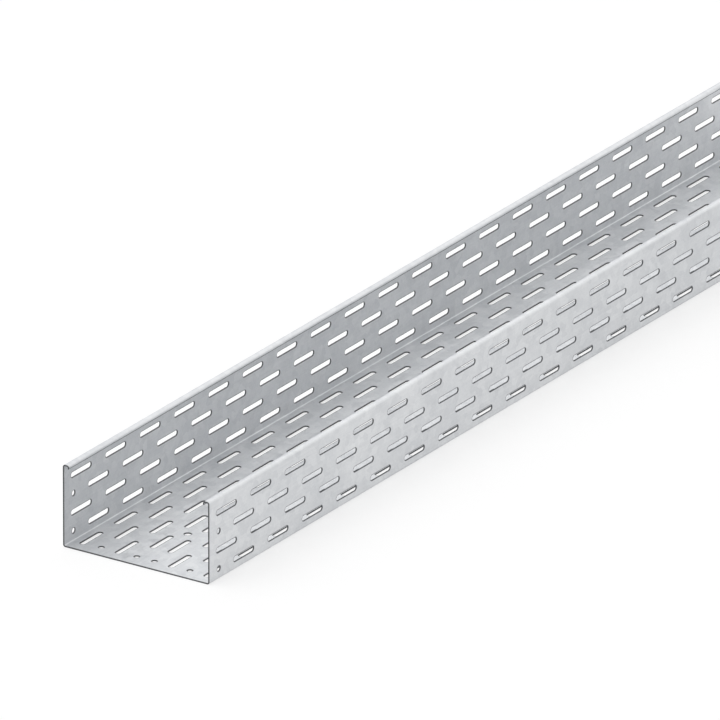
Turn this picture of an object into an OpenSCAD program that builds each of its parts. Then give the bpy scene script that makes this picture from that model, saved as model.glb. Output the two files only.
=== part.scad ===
// Perforated cable tray: one folded steel sheet with a slotted base, slotted side walls
// and an inward lip along the top of each wall. The tray runs along Y and stands on its
// base, with the origin under the middle of the base. All sizes are in millimetres.

/* [Channel] */
// Clear width between the side walls
clear_w = 200; // [100:5:600]
// Clear depth between the base and the underside of the lips
clear_h = 100; // [60:1:160]
// Length of the tray
tray_len = 1500; // [600:10:3000]
// Thickness of the sheet
sheet_t = 1.5; // [1:0.1:2]
// Inside radius of every fold
fold_r = 1.5; // [0.5:0.1:2.2]

/* [Lips] */
// Width of a lip, from the outside of its wall to its inner edge
lip_w = 8.5; // [8.5:0.5:20]
// Depth of a lip, from the top of the wall down to its cut edge
lip_drop = 4.5; // [4.5:0.1:12]

/* [Slots] */
// Length of a slot over its round ends
slot_len = 42; // [20:1:60]
// Width of a slot
slot_w = 6.5; // [4:0.5:10]
// Distance between slots in a row, centre to centre
slot_pitch = 71.4; // [65:0.1:120]
// Distance between rows in the base
base_row_pitch = 24.6; // [20:0.1:40]
// Height of the lowest wall row above the underside of the tray
wall_row_start = 13.5; // [10:0.5:25]
// Distance between rows in a wall
wall_row_pitch = 23.5; // [15:0.5:40]
// Least width of plain sheet beside a row and beyond the last slot
edge_gap = 5; // [2:0.5:10]

/* [Round holes] */
// Diameter of the joint holes at the ends of the tray
joint_hole_d = 6.5; // [4:0.5:10]
// Distance from an end of the tray to its joint holes
joint_hole_inset = 20; // [8:0.5:30]
// Diameter of the large hole on the centre line near each end
centre_hole_d = 8.5; // [5:0.5:14]

/* [Hidden] */
$fn = 96;

// Outside radius of every fold, and the overall width and height
fold_out_r = fold_r + sheet_t;
tray_w = clear_w + 2 * sheet_t;
tray_h = clear_h + 2 * sheet_t;

// Rows that fit on each side of the base's centre line, and rows that fit in a wall
base_side = clear_w / 2 - fold_r - edge_gap - slot_w / 2;
base_side_rows = floor(base_side / base_row_pitch + 0.5);
wall_top = tray_h - lip_drop - edge_gap - slot_w / 2;
wall_rows = floor((wall_top - wall_row_start) / wall_row_pitch) + 1;

// Slots in a full row, the same distance from both ends of the tray
full_row_slots = floor((tray_len - slot_len - 2 * edge_gap) / slot_pitch) + 1;

// The large hole lies level with the second slot of the full rows
centre_hole_y = slot_y(full_row_slots - 2, full_row_slots);
joint_hole_y = tray_len / 2 - joint_hole_inset;

// How far each cut runs past the sheet
cut_over = 2;

function base_row_x(row) = (row + 0.5) * base_row_pitch;
function wall_row_z(row) = wall_row_start + row * wall_row_pitch;
function slot_y(i, count) = (i - (count - 1) / 2) * slot_pitch;

// Rectangle from the origin with four round corners
module rounded_box(size, r) {
    translate([r, 0]) square([size.x - 2 * r, size.y]);
    translate([0, r]) square([size.x, size.y - 2 * r]);
    for (x = [r, size.x - r], y = [r, size.y - r])
        translate([x, y]) circle(r = r);
}

module both_sides() {
    children();
    mirror([1, 0]) children();
}

// Section of the folded sheet, with X across and Y up: the base and the two walls with
// their lips as solid outlines, less the space inside the folds and below the lips
module folded_section() {
    difference() {
        union() {
            translate([fold_out_r - tray_w / 2, 0])
                square([tray_w - 2 * fold_out_r, sheet_t]);
            both_sides()
                translate([tray_w / 2 - lip_w, 0])
                    rounded_box([lip_w, tray_h], fold_out_r);
        }
        both_sides()
            translate([tray_w / 2 - lip_w + sheet_t, sheet_t])
                rounded_box([lip_w - 2 * sheet_t, clear_h], fold_r);
        translate([fold_r - clear_w / 2, sheet_t])
            square([clear_w - 2 * fold_r, tray_h - lip_drop - sheet_t]);
    }
}

// The sheet folded to a channel with inward lips, before it is punched
module folded_sheet() {
    rotate([90, 0, 0])
        linear_extrude(height = tray_len, center = true) folded_section();
}

// Outline of one slot, with its length along the second axis
module slot_outline() {
    straight = slot_len - slot_w;
    square([slot_w, straight], center = true);
    for (side = [-1, 1])
        translate([0, side * straight / 2]) circle(d = slot_w);
}

module slot_row(count) {
    for (i = [0 : count - 1])
        translate([0, slot_y(i, count)]) slot_outline();
}

// Every second row has one slot less, so that it is shifted by half a pitch, and a joint
// hole in the free place at each end
module punched_row(shifted) {
    if (shifted) {
        slot_row(full_row_slots - 1);
        for (side = [-1, 1])
            translate([0, side * joint_hole_y]) circle(d = joint_hole_d);
    } else {
        slot_row(full_row_slots);
    }
}

// Everything punched through the base, seen from above
module base_pattern() {
    for (row = [0 : base_side_rows - 1], side = [-1, 1])
        translate([side * base_row_x(row), 0]) punched_row(row % 2 == 0);
    for (side = [-1, 1])
        translate([0, side * centre_hole_y]) circle(d = centre_hole_d);
}

// Everything punched through a wall, with the first axis up the wall
module wall_pattern() {
    for (row = [0 : wall_rows - 1])
        translate([wall_row_z(row), 0]) punched_row(row % 2 == 0);
}

module base_cuts() {
    translate([0, 0, -cut_over])
        linear_extrude(height = sheet_t + 2 * cut_over) base_pattern();
}

// Both walls are punched alike, so each cut runs through the pair of them
module wall_cuts() {
    translate([tray_w / 2 + cut_over, 0, 0])
        rotate([0, -90, 0])
            linear_extrude(height = tray_w + 2 * cut_over) wall_pattern();
}

module tray() {
    color("gainsboro")
        difference() {
            folded_sheet();
            base_cuts();
            wall_cuts();
        }
}

tray();
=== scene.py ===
"""The finished look of the perforated cable tray: its sheet as a fine mesh with eased cut
edges, a galvanised finish, a white studio and the drawing's viewing angle."""
import bisect
import math

import bpy
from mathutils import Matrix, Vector
from mathutils.geometry import delaunay_2d_cdt


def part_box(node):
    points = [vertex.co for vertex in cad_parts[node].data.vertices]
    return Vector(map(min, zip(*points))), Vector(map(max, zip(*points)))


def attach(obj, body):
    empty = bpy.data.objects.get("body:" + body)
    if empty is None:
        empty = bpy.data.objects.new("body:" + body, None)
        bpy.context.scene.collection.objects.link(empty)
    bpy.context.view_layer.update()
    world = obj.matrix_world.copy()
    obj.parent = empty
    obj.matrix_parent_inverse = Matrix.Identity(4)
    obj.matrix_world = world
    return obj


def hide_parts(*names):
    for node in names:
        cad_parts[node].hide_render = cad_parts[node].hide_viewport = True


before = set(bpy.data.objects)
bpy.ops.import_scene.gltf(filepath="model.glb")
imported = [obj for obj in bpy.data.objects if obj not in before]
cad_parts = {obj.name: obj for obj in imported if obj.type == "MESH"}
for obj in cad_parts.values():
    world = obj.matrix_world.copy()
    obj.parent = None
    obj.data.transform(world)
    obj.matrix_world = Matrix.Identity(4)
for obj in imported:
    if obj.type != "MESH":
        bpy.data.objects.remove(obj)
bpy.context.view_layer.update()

MM = 0.001

# Sizes of the sheet and its folds in millimetres, as in the part's source
SHEET = 1.5
FOLD_R = 1.5
FOLD_OUT_R = FOLD_R + SHEET
LIP_W = 8.5
LIP_DROP = 4.5

# Sizes of the punched pattern in millimetres, as in the part's source
SLOT_LEN = 42.0
SLOT_W = 6.5
SLOT_PITCH = 71.4
FULL_ROW_SLOTS = 21
BASE_ROW_PITCH = 24.6
BASE_SIDE_ROWS = 4
WALL_ROW_START = 13.5
WALL_ROW_PITCH = 23.5
WALL_ROWS = 4
JOINT_HOLE_D = 6.5
JOINT_HOLE_INSET = 20.0
CENTRE_HOLE_D = 8.5

# How finely the mesh follows folds and round ends, and the radius of its cut edges
FOLD_STEPS = 8
ARC_STEPS = 12
EASE = 0.35

# Width of the painted shade round each cut edge on both faces, and its darkness at the edge
SHADE_BAND = 1.0
SHADE_AT_EDGE = 0.85

# Distance in millimetres below which two places of the flat sheet count as one
SAME_PLACE = 1e-5

# Rings of points round a cut edge, from the inner face over the edge to the outer face:
# the side of the sheet, the angle between the surface there and the cut edge, the width
# of painted shade between the ring and the eased edge, and the share of dark steel colour,
# bare steel on the edge and painted shade on the faces
RINGS = [
    (1, 90, SHADE_BAND, 0.0),
    (1, 90, 0.0, SHADE_AT_EDGE),
    (1, 45, 0.0, 1.0),
    (1, 0, 0.0, 1.0),
    (-1, 0, 0.0, 1.0),
    (-1, 45, 0.0, 1.0),
    (-1, 90, 0.0, SHADE_AT_EDGE),
    (-1, 90, SHADE_BAND, 0.0),
]

# Plain border round the two faces in the map of the sheet, in millimetres
MAP_BORDER = 4.0

# Scales of the zinc's pattern per metre. Those of three numbers are across the tray, along
# it and through the sheet.
WANDER = 120.0
CRYSTALS = 105.0
GRAINS = 340.0
CLOUDS = 6.0
FEATHERS = (1300.0, 240.0, 1.0)
ROLL_LINES = (420.0, 4.0, 1.0)
FINE_GRAIN = (900.0, 900.0, 200.0)

# How far the crystals' borders wander, in metres, and how far apart the two faces are
# taken to be, so that their crystals differ
WANDER_REACH = (0.007, 0.007, 0.0)
FACE_SHIFT = 0.5

# How far each layer of the pattern darkens and lightens the zinc, and the sum of them at
# which it has its darkest or palest colour
CRYSTAL_TONE = 0.45
GRAIN_TONE = 0.18
FEATHER_TONE = 0.30
CLOUD_TONE = 0.45
LINE_TONE = 0.40
BEND_TONE = 0.35
FULL_TONE = 1.3

# The part of a noise's range that is spread over a layer
NOISE_LOW = 0.3
NOISE_HIGH = 0.7

# Darkest and palest colours of the zinc and of the cut edges' steel, which is painted
# darker than bare steel as shade, and the tint of the zinc at a glancing angle
ZINC = ((0.675, 0.69, 0.71, 1.0), (0.855, 0.865, 0.875, 1.0))
SHADED_STEEL = ((0.045, 0.047, 0.05, 1.0), (0.14, 0.144, 0.15, 1.0))
GLANCING_TINT = (0.40, 0.41, 0.43, 1.0)

# Roughness of the zinc and of bare steel, and how far lines and folds change the zinc's
SATIN = (0.43, 0.55)
LINE_SATIN = 0.05
BEND_SATIN = 0.05
STEEL_ROUGHNESS = 0.55
METALLIC = 0.88

# Relief of the surface: shares of its two patterns, strength, depth in metres, and how far
# each crystal leans
LINE_RELIEF = 0.6
FINE_RELIEF = 0.4
RELIEF_STRENGTH = 0.15
RELIEF_DEPTH = 0.0002
CRYSTAL_LEAN = (0.06, 0.06, 0.06)

# The picture's view: the floor's point at its centre and the width seen there, in metres
VIEW_AZIMUTH = 33.54
VIEW_ELEVATION = 22.88
VIEW_CENTRE = Vector((-0.1218, -0.0989, 0.0))
VIEW_WIDTH = 0.8418
LENS = 1700.0
SENSOR = 36.0

# The floor in metres, just clear of the tray, and its grey. The light that it gets and its
# glow, which is only seen, add up to white.
FLOOR_HALF = 150.0
FLOOR_LEVEL = -0.0002
FLOOR_GREY = 0.41
FLOOR_GLOW = 0.61
SKY_LIGHT = 0.62

# Azimuth, elevation and strength of the two suns, and how wide both are, in degrees
SUNS = {"key": (-45, 60, 1.1), "rim": (222, 50, 0.2)}
SUN_WIDTH = 60


class Section:
    """The middle of the sheet as a path across the tray, from the left lip's cut edge to
    the right lip's. Distances along it are those on the flat sheet, in millimetres."""

    def __init__(self, width, height):
        lip_edge = LIP_DROP - FOLD_OUT_R
        lip_top = LIP_W - 2 * FOLD_OUT_R
        wall = height - 2 * FOLD_OUT_R
        base = width - 2 * FOLD_OUT_R
        self.along = [0.0]
        self.x = [LIP_W - SHEET / 2 - width / 2]
        self.z = [height - LIP_DROP]
        self.heading = [math.pi / 2]
        self.straight(lip_edge)
        for length in (lip_top, wall, base, wall, lip_top, lip_edge):
            self.fold()
            self.straight(length)
        self.length = self.along[-1]
        self.middle = self.length / 2
        self.wall_foot = base / 2 + FOLD_STEPS * self.fold_step()

    def fold_step(self):
        return (FOLD_R + SHEET / 2) * math.pi / 2 / FOLD_STEPS

    def step(self, length, dx, dz, turn):
        self.along.append(self.along[-1] + length)
        self.x.append(self.x[-1] + dx)
        self.z.append(self.z[-1] + dz)
        self.heading.append(self.heading[-1] + turn)

    def straight(self, length):
        heading = self.heading[-1]
        self.step(length, length * math.cos(heading), length * math.sin(heading), 0)

    def fold(self):
        """A quarter turn to the left, which is the inside of the tray."""
        radius = FOLD_R + SHEET / 2
        turn = math.pi / 2 / FOLD_STEPS
        for _ in range(FOLD_STEPS):
            old = self.heading[-1]
            new = old + turn
            dx = radius * (math.sin(new) - math.sin(old))
            dz = radius * (math.cos(old) - math.cos(new))
            self.step(self.fold_step(), dx, dz, turn)

    def wall_place(self, height, side):
        """Where a height up the left (-1) or right (1) wall lies on the flat sheet."""
        return self.middle + side * (self.wall_foot + height - FOLD_OUT_R)

    def at(self, along):
        """(x, z, heading) of a station, or of a place on a straight stretch."""
        i = bisect.bisect_right(self.along, along + SAME_PLACE)
        i = min(i, len(self.along) - 1) - 1
        share = (along - self.along[i]) / (self.along[i + 1] - self.along[i])
        x = self.x[i] + share * (self.x[i + 1] - self.x[i])
        z = self.z[i] + share * (self.z[i + 1] - self.z[i])
        return x, z, self.heading[i + 1] if share > 0.5 else self.heading[i]


def slot_rim(along, y):
    """A slot's rim, anticlockwise, as (place, direction into the hole) pairs."""
    rim = []
    for end in (1, -1):
        centre_y = y + end * (SLOT_LEN - SLOT_W) / 2
        for k in range(ARC_STEPS + 1):
            angle = math.pi * (k / ARC_STEPS + (end < 0))
            dx, dy = math.cos(angle), math.sin(angle)
            place = (along + SLOT_W / 2 * dx, centre_y + SLOT_W / 2 * dy)
            rim.append((place, (-dx, -dy)))
    return rim


def round_rim(along, y, diameter):
    """A round hole's rim, in the form of a slot's."""
    rim = []
    for k in range(2 * ARC_STEPS):
        angle = math.pi * k / ARC_STEPS
        dx, dy = math.cos(angle), math.sin(angle)
        rim.append(((along + diameter / 2 * dx, y + diameter / 2 * dy), (-dx, -dy)))
    return rim


def outer_rim(section, ys):
    """The flat sheet's outline, clockwise, with a point at each station and each y, as
    (place, direction off the sheet) pairs. A corner's direction is the sum of two."""
    wide, low, high = section.length, ys[0], ys[-1]
    rim = [((0.0, low), (-1, -1))]
    rim += [((0.0, y), (-1, 0)) for y in ys[1:-1]]
    rim += [((0.0, high), (-1, 1))]
    rim += [((s, high), (0, 1)) for s in section.along[1:-1]]
    rim += [((wide, high), (1, 1))]
    rim += [((wide, y), (1, 0)) for y in ys[-2:0:-1]]
    rim += [((wide, low), (1, -1))]
    rim += [((s, low), (0, -1)) for s in section.along[-2:0:-1]]
    return rim


def punched_rims(section, length):
    """The rims of all slots and round holes on the flat sheet."""
    rows = []
    for side in (-1, 1):
        for row in range(BASE_SIDE_ROWS):
            rows.append((section.middle + side * (row + 0.5) * BASE_ROW_PITCH, row))
        for row in range(WALL_ROWS):
            height = WALL_ROW_START + row * WALL_ROW_PITCH
            rows.append((section.wall_place(height, side), row))
    rims = []
    for place, row in rows:
        shifted = row % 2 == 0
        count = FULL_ROW_SLOTS - shifted
        for i in range(count):
            rims.append(slot_rim(place, (i - (count - 1) / 2) * SLOT_PITCH))
        for end in (-1, 1) if shifted else ():
            hole_y = end * (length / 2 - JOINT_HOLE_INSET)
            rims.append(round_rim(place, hole_y, JOINT_HOLE_D))
    for end in (-1, 1):
        hole_y = end * (FULL_ROW_SLOTS - 3) / 2 * SLOT_PITCH
        rims.append(round_rim(section.middle, hole_y, CENTRE_HOLE_D))
    return rims


def flat_triangles(section, rims, ys):
    """Triangles of the flat sheet between the rims' face rings. Returns the places of
    all points, each rim's first point in them, and the triangles. A triangle with all its
    points on one hole's rim lies inside that hole and is left out."""
    places, edges, first, owner = [], [], [], []
    for number, rim in enumerate(rims):
        first.append(len(places))
        for (s, y), (out_s, out_y) in rim:
            places.append((s - out_s * (EASE + SHADE_BAND), y - out_y * (EASE + SHADE_BAND)))
            owner.append(number)
        ring = range(first[-1], len(places))
        edges += [(i, i + 1) for i in ring[:-1]] + [(ring[-1], ring[0])]
    station_at = {s: {} for s in section.along[1:-1]}
    for i, ((s, y), _) in enumerate(rims[0]):
        if s in station_at:
            station_at[s][y] = i
    for s, found in station_at.items():
        line = [found[ys[0]]]
        for y in ys[1:-1]:
            line.append(len(places))
            places.append((s, y))
            owner.append(None)
        line.append(found[ys[-1]])
        edges += list(zip(line, line[1:]))
    points = [Vector(place) for place in places]
    made = delaunay_2d_cdt(points, edges, [], 0, SAME_PLACE, True)
    if len(made[0]) != len(places):
        raise ValueError("two points of the flat sheet fell together")
    source = [ids[0] for ids in made[3]]
    triangles = []
    for face in made[2]:
        face = tuple(source[i] for i in face)
        owners = {owner[i] for i in face}
        if len(owners) == 1 and owners.isdisjoint({None, 0}):
            continue
        triangles.append(face)
    return places, first, triangles


class FoldedMesh:
    """The folded sheet's points and faces as they are made."""

    def __init__(self, section, length):
        self.section = section
        self.tray_length = length
        self.points = []
        self.normals = []
        self.flat = []
        self.cut = []
        self.bend = []
        self.faces = []
        self.map = []

    def add_point(self, place, side, angle=90, out=(0, 0), steel_and_shade=0.0):
        """A point of the ring at this side and angle, over a place on the flat sheet."""
        rise, run = math.sin(math.radians(angle)), math.cos(math.radians(angle))
        x, z, heading = self.section.at(place[0])
        lift = side * (SHEET / 2 - EASE * (1 - rise))
        across = Vector((math.cos(heading), 0, math.sin(heading)))
        inward = Vector((-math.sin(heading), 0, math.cos(heading)))
        outward = (across * out[0] + Vector((0, out[1], 0))).normalized()
        self.points.append((Vector((x, place[1], z)) + inward * lift) * MM)
        self.normals.append(inward * side * rise + outward * run)
        self.flat.append(Vector((place[0] - self.section.middle, place[1], lift)) * MM)
        self.cut.append(steel_and_shade)
        self.bend.append(abs(math.sin(2 * heading)))
        return len(self.points) - 1

    def on_map(self, place, side):
        """A place of the flat sheet on the map: the inner face left, the outer right."""
        wide = self.section.length + 2 * MAP_BORDER
        tall = self.tray_length + 2 * MAP_BORDER
        u = (place[0] + MAP_BORDER) / wide
        v = (place[1] + self.tray_length / 2 + MAP_BORDER) / tall
        return ((u + (side < 0)) / 2, v)

    def add_rim(self, rim):
        """The eased cut edge round one rim, with a band of painted shade on both faces round
        it.
        Returns its point numbers, ring by ring.
        """
        rings, spread = [], [-EASE - SHADE_BAND]
        # Each ring's share of dark steel colour: bare steel on the edge, painted shade on the
        # face band
        for side, angle, shade_width, steel_and_shade in RINGS:
            inset = EASE * (1 - math.cos(math.radians(angle))) + shade_width
            ring = []
            for (s, y), out in rim:
                place = (s - out[0] * inset, y - out[1] * inset)
                ring.append(self.add_point(place, side, angle, out, steel_and_shade))
            rings.append(ring)
        for ring, following in zip(RINGS, RINGS[1:]):
            width = EASE * math.radians(abs(ring[1] - following[1]))
            width += abs(ring[2] - following[2])
            spread.append(spread[-1] + (width or SHEET - 2 * EASE))
        mapped = []
        for far in spread:
            places = [(s + out[0] * far, y + out[1] * far) for (s, y), out in rim]
            mapped.append([self.on_map(place, 1) for place in places])
        for k in range(len(RINGS) - 1):
            for i in range(len(rim)):
                corners = ((k, i - 1), (k, i), (k + 1, i), (k + 1, i - 1))
                self.faces.append([rings[ring][j] for ring, j in corners])
                self.map += [mapped[ring][j] for ring, j in corners]
        return rings[0], rings[-1]


def folded_sheet(low, high):
    """The whole tray as one closed mesh, as large as the box between low and high."""
    width, length, height = (high - low) / MM
    section = Section(width, height)
    halves = range(2 - FULL_ROW_SLOTS, FULL_ROW_SLOTS - 1)
    ys = [-length / 2] + [k * SLOT_PITCH / 2 for k in halves] + [length / 2]
    rims = [outer_rim(section, ys)] + punched_rims(section, length)
    places, first, triangles = flat_triangles(section, rims, ys)
    sheet = FoldedMesh(section, length)
    inner, outer = {}, {}
    for start, rim in zip(first, rims):
        for i, (a, b) in enumerate(zip(*sheet.add_rim(rim))):
            inner[start + i], outer[start + i] = a, b
    for i in range(len(inner), len(places)):
        inner[i] = sheet.add_point(places[i], 1)
        outer[i] = sheet.add_point(places[i], -1)
    for triangle in triangles:
        sheet.faces.append([inner[i] for i in triangle])
        sheet.map += [sheet.on_map(places[i], 1) for i in triangle]
        sheet.faces.append([outer[i] for i in reversed(triangle)])
        sheet.map += [sheet.on_map(places[i], -1) for i in reversed(triangle)]
    return sheet


def mesh_object(name, sheet, material):
    """The sheet as an object, with exact normals and its flat places as data."""
    mesh = bpy.data.meshes.new(name)
    mesh.from_pydata(sheet.points, [], sheet.faces)
    flat = mesh.attributes.new("flat_place", "FLOAT_VECTOR", "POINT")
    flat.data.foreach_set("vector", [c for place in sheet.flat for c in place])
    # Share of dark steel colour: bare steel on the cut edges, painted shade in a band round
    # them
    for key, values in (("bare_steel_and_shade", sheet.cut), ("bend", sheet.bend)):
        attribute = mesh.attributes.new(key, "FLOAT", "POINT")
        attribute.data.foreach_set("value", values)
    layer = mesh.uv_layers.new(name="OFBake")
    layer.uv.foreach_set("vector", [c for place in sheet.map for c in place])
    mesh.polygons.foreach_set("use_smooth", [True] * len(mesh.polygons))
    mesh.normals_split_custom_set_from_vertices(sheet.normals)
    mesh.materials.append(material)
    made = bpy.data.objects.new(name, mesh)
    bpy.context.scene.collection.objects.link(made)
    return made


class Nodes:
    """A short way to lay out a material's nodes."""

    def __init__(self, name):
        self.material = bpy.data.materials.new(name)
        self.material.use_nodes = True
        self.tree = self.material.node_tree
        self.shader = self.tree.nodes["Principled BSDF"]

    def add(self, kind, inputs=None, **settings):
        node = self.tree.nodes.new(kind)
        for key, value in settings.items():
            setattr(node, key, value)
        for key, value in (inputs or {}).items():
            self.feed(value, node.inputs[key])
        return node

    def feed(self, value, socket):
        if isinstance(value, bpy.types.NodeSocket):
            self.tree.links.new(value, socket)
        else:
            socket.default_value = value

    def stretched(self, place, scale):
        """A place with each coordinate multiplied."""
        inputs = {0: place, 1: scale}
        return self.add("ShaderNodeVectorMath", inputs, operation="MULTIPLY").outputs[0]

    def spread(self, value, low, high, from_low=0.0, from_high=1.0):
        """A value laid out evenly between two others."""
        inputs = {"Value": value, "From Min": from_low, "From Max": from_high,
                  "To Min": low, "To Max": high}
        return self.add("ShaderNodeMapRange", inputs).outputs["Result"]

    def maths(self, operation, a, b):
        return self.add("ShaderNodeMath", {0: a, 1: b}, operation=operation).outputs[0]

    def mixed(self, share, a, b):
        """A colour between two others."""
        node = self.add("ShaderNodeMix", data_type="RGBA")
        for name, value in (("Factor", share), ("A", a), ("B", b)):
            kind = "VALUE" if name == "Factor" else "RGBA"
            socket = next(s for s in node.inputs if s.name == name and s.type == kind)
            self.feed(value, socket)
        return next(s for s in node.outputs if s.type == "RGBA")

    def noise(self, place, scale, detail=3.0, roughness=0.5):
        inputs = {"Vector": place, "Scale": scale, "Detail": detail, "Roughness": roughness}
        return self.add("ShaderNodeTexNoise", inputs).outputs["Fac"]


def galvanised():
    """Zinc coated sheet: pale, satin, with a feathery spangle and fine rolling lines along
    the tray. Where it was punched after coating, bare steel shows on the cut edges, painted
    darker than bare steel as shade, and a band of painted shade darkens both faces round
    each edge."""
    n = Nodes("galvanised_steel")
    place = n.add("ShaderNodeAttribute", attribute_name="flat_place").outputs["Vector"]
    # Share of dark steel colour: bare steel on the cut edges, painted shade round them on the
    # faces
    cut = n.add("ShaderNodeAttribute", attribute_name="bare_steel_and_shade").outputs["Fac"]
    bend = n.add("ShaderNodeAttribute", attribute_name="bend").outputs["Fac"]

    # The two faces of the sheet get different crystals
    depth = n.add("ShaderNodeSeparateXYZ", {0: place}).outputs["Z"]
    face = n.maths("MULTIPLY", n.maths("GREATER_THAN", depth, 0.0), FACE_SHIFT)
    lifted = n.add("ShaderNodeCombineXYZ", {"Z": face}).outputs[0]
    place = n.add("ShaderNodeVectorMath", {0: place, 1: lifted}).outputs[0]

    wander = n.add("ShaderNodeTexNoise", {"Vector": place, "Scale": WANDER, "Detail": 3.0})
    shift = n.stretched(wander.outputs["Color"], WANDER_REACH)
    bent = n.add("ShaderNodeVectorMath", {0: place, 1: shift}).outputs[0]
    crystal = n.add("ShaderNodeTexVoronoi", {"Vector": bent, "Scale": CRYSTALS})
    parts = n.add("ShaderNodeSeparateColor", {0: crystal.outputs["Color"]})
    tone, gloss, turn = parts.outputs[:3]
    small = n.add("ShaderNodeTexVoronoi", {"Vector": bent, "Scale": GRAINS})
    grain = n.add("ShaderNodeSeparateColor", {0: small.outputs["Color"]}).outputs[0]
    angle = n.maths("MULTIPLY", turn, math.tau)
    turned = n.add("ShaderNodeVectorRotate", {"Vector": place, "Angle": angle},
                   rotation_type="Z_AXIS").outputs[0]
    feather = n.noise(n.stretched(turned, FEATHERS), 1.0)

    cloud = n.noise(place, CLOUDS, 4.0)
    lines = n.noise(n.stretched(place, ROLL_LINES), 1.0, 4.0, 0.6)
    fine = n.noise(n.stretched(place, FINE_GRAIN), 1.0)

    layers = (
        n.spread(tone, -CRYSTAL_TONE, CRYSTAL_TONE),
        n.spread(grain, -GRAIN_TONE, GRAIN_TONE),
        n.spread(feather, -FEATHER_TONE, FEATHER_TONE, NOISE_LOW, NOISE_HIGH),
        n.spread(cloud, -CLOUD_TONE, CLOUD_TONE, NOISE_LOW, NOISE_HIGH),
        n.spread(lines, -LINE_TONE, LINE_TONE, NOISE_LOW, NOISE_HIGH),
        n.maths("MULTIPLY", bend, BEND_TONE),
    )
    light = layers[0]
    for layer in layers[1:]:
        light = n.maths("ADD", light, layer)
    share = n.spread(light, 0.0, 1.0, -FULL_TONE, FULL_TONE)
    zinc = n.mixed(share, *ZINC)
    # The cut edges' steel, painted darker than bare steel as shade
    shaded_steel = n.mixed(fine, *SHADED_STEEL)
    n.feed(n.mixed(cut, zinc, shaded_steel), n.shader.inputs["Base Color"])

    satin = n.spread(gloss, *SATIN)
    streaks = n.spread(lines, -LINE_SATIN, LINE_SATIN, NOISE_LOW, NOISE_HIGH)
    satin = n.maths("ADD", satin, streaks)
    satin = n.maths("SUBTRACT", satin, n.maths("MULTIPLY", bend, BEND_SATIN))
    rough = n.maths("MAXIMUM", satin, n.maths("MULTIPLY", cut, STEEL_ROUGHNESS))
    n.feed(rough, n.shader.inputs["Roughness"])
    n.shader.inputs["Metallic"].default_value = METALLIC
    n.shader.inputs["Specular Tint"].default_value = GLANCING_TINT

    line_relief = n.maths("MULTIPLY", lines, LINE_RELIEF)
    relief = n.maths("ADD", line_relief, n.maths("MULTIPLY", fine, FINE_RELIEF))
    bump = n.add("ShaderNodeBump", {
        "Height": relief, "Strength": RELIEF_STRENGTH, "Distance": RELIEF_DEPTH,
    })
    tilt = n.add("ShaderNodeVectorMath", {0: crystal.outputs["Color"], 1: (-0.5, -0.5, -0.5)})
    tilt = n.stretched(tilt.outputs[0], CRYSTAL_LEAN)
    facet = n.add("ShaderNodeVectorMath", {0: bump.outputs["Normal"], 1: tilt}).outputs[0]
    facet = n.add("ShaderNodeVectorMath", {0: facet}, operation="NORMALIZE").outputs[0]
    n.feed(facet, n.shader.inputs["Normal"])
    return n.material


def seen_directly(tree):
    """1 for camera, glossy and transmission rays, and 0 for the rays that light things."""
    path = tree.nodes.new("ShaderNodeLightPath")
    seen = path.outputs["Is Camera Ray"]
    for name in ("Is Glossy Ray", "Is Transmission Ray"):
        either = tree.nodes.new("ShaderNodeMath")
        either.operation = "MAXIMUM"
        tree.links.new(seen, either.inputs[0])
        tree.links.new(path.outputs[name], either.inputs[1])
        seen = either.outputs[0]
    return seen


def add_world():
    """A white surround, which lights the scene as a pale grey sky."""
    world = bpy.data.worlds.new("studio")
    bpy.context.scene.world = world
    world.use_nodes = True
    tree = world.node_tree
    strength = tree.nodes.new("ShaderNodeMapRange")
    tree.links.new(seen_directly(tree), strength.inputs["Value"])
    strength.inputs["To Min"].default_value = SKY_LIGHT
    strength.inputs["To Max"].default_value = 1.0
    background = tree.nodes["Background"]
    background.inputs["Color"].default_value = (1.0, 1.0, 1.0, 1.0)
    tree.links.new(strength.outputs["Result"], background.inputs["Strength"])


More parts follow.
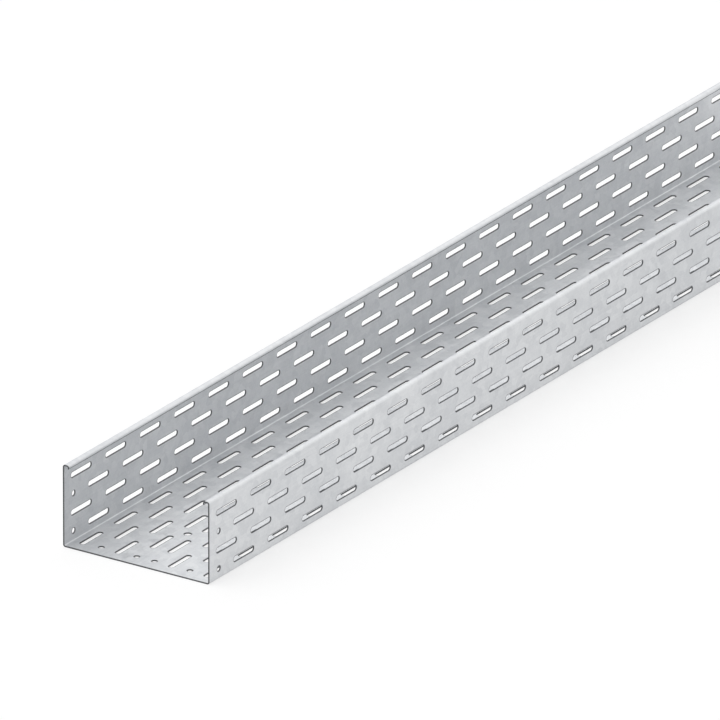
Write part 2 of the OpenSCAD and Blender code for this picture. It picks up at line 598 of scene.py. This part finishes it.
def floor_material():
    """Plain white paper. The glow makes it white, and the rest shows the tray's shadow."""
    n = Nodes("white_floor")
    n.shader.inputs["Base Color"].default_value = (FLOOR_GREY, FLOOR_GREY, FLOOR_GREY, 1.0)
    n.shader.inputs["Roughness"].default_value = 1.0
    n.shader.inputs["Specular IOR Level"].default_value = 0.0
    n.shader.inputs["Emission Color"].default_value = (1.0, 1.0, 1.0, 1.0)
    glow = n.maths("MULTIPLY", seen_directly(n.tree), FLOOR_GLOW)
    n.feed(glow, n.shader.inputs["Emission Strength"])
    return n.material


def add_floor():
    mesh = bpy.data.meshes.new("floor")
    half, level = FLOOR_HALF, FLOOR_LEVEL
    corners = [(-half, -half, level), (half, -half, level), (half, half, level),
               (-half, half, level)]
    mesh.from_pydata(corners, [], [(0, 1, 2, 3)])
    mesh.materials.append(floor_material())
    floor = bpy.data.objects.new("floor", mesh)
    bpy.context.scene.collection.objects.link(floor)


def add_sun(name, azimuth, elevation, strength):
    """Soft light from one side, as from a wide far-off softbox. Angles in degrees."""
    lamp = bpy.data.lights.new(name, "SUN")
    lamp.angle = math.radians(SUN_WIDTH)
    lamp.energy = strength
    made = bpy.data.objects.new(name, lamp)
    made.rotation_euler = (math.radians(90 - elevation), 0, math.radians(azimuth))
    bpy.context.scene.collection.objects.link(made)


def add_camera():
    """The drawing's view: nearly parallel, so the camera stands far off."""
    azimuth, elevation = math.radians(VIEW_AZIMUTH), math.radians(VIEW_ELEVATION)
    back = Vector((
        math.sin(azimuth) * math.cos(elevation),
        -math.cos(azimuth) * math.cos(elevation),
        math.sin(elevation),
    ))
    distance = VIEW_WIDTH * LENS / SENSOR
    data = bpy.data.cameras.new("view")
    data.sensor_width = SENSOR
    data.lens = LENS
    data.clip_start = 1.0
    data.clip_end = 2 * distance
    camera = bpy.data.objects.new("view", data)
    camera.location = VIEW_CENTRE + back * distance
    camera.rotation_euler = (math.pi / 2 - elevation, 0, azimuth)
    bpy.context.scene.collection.objects.link(camera)
    bpy.context.scene.camera = camera


add_camera()
tray = mesh_object("tray_sheet", folded_sheet(*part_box("tray")), galvanised())
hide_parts("tray")
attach(tray, "root")

add_floor()
add_world()
for sun, settings in SUNS.items():
    add_sun(sun, *settings)

bpy.context.scene.view_settings.view_transform = "Standard"
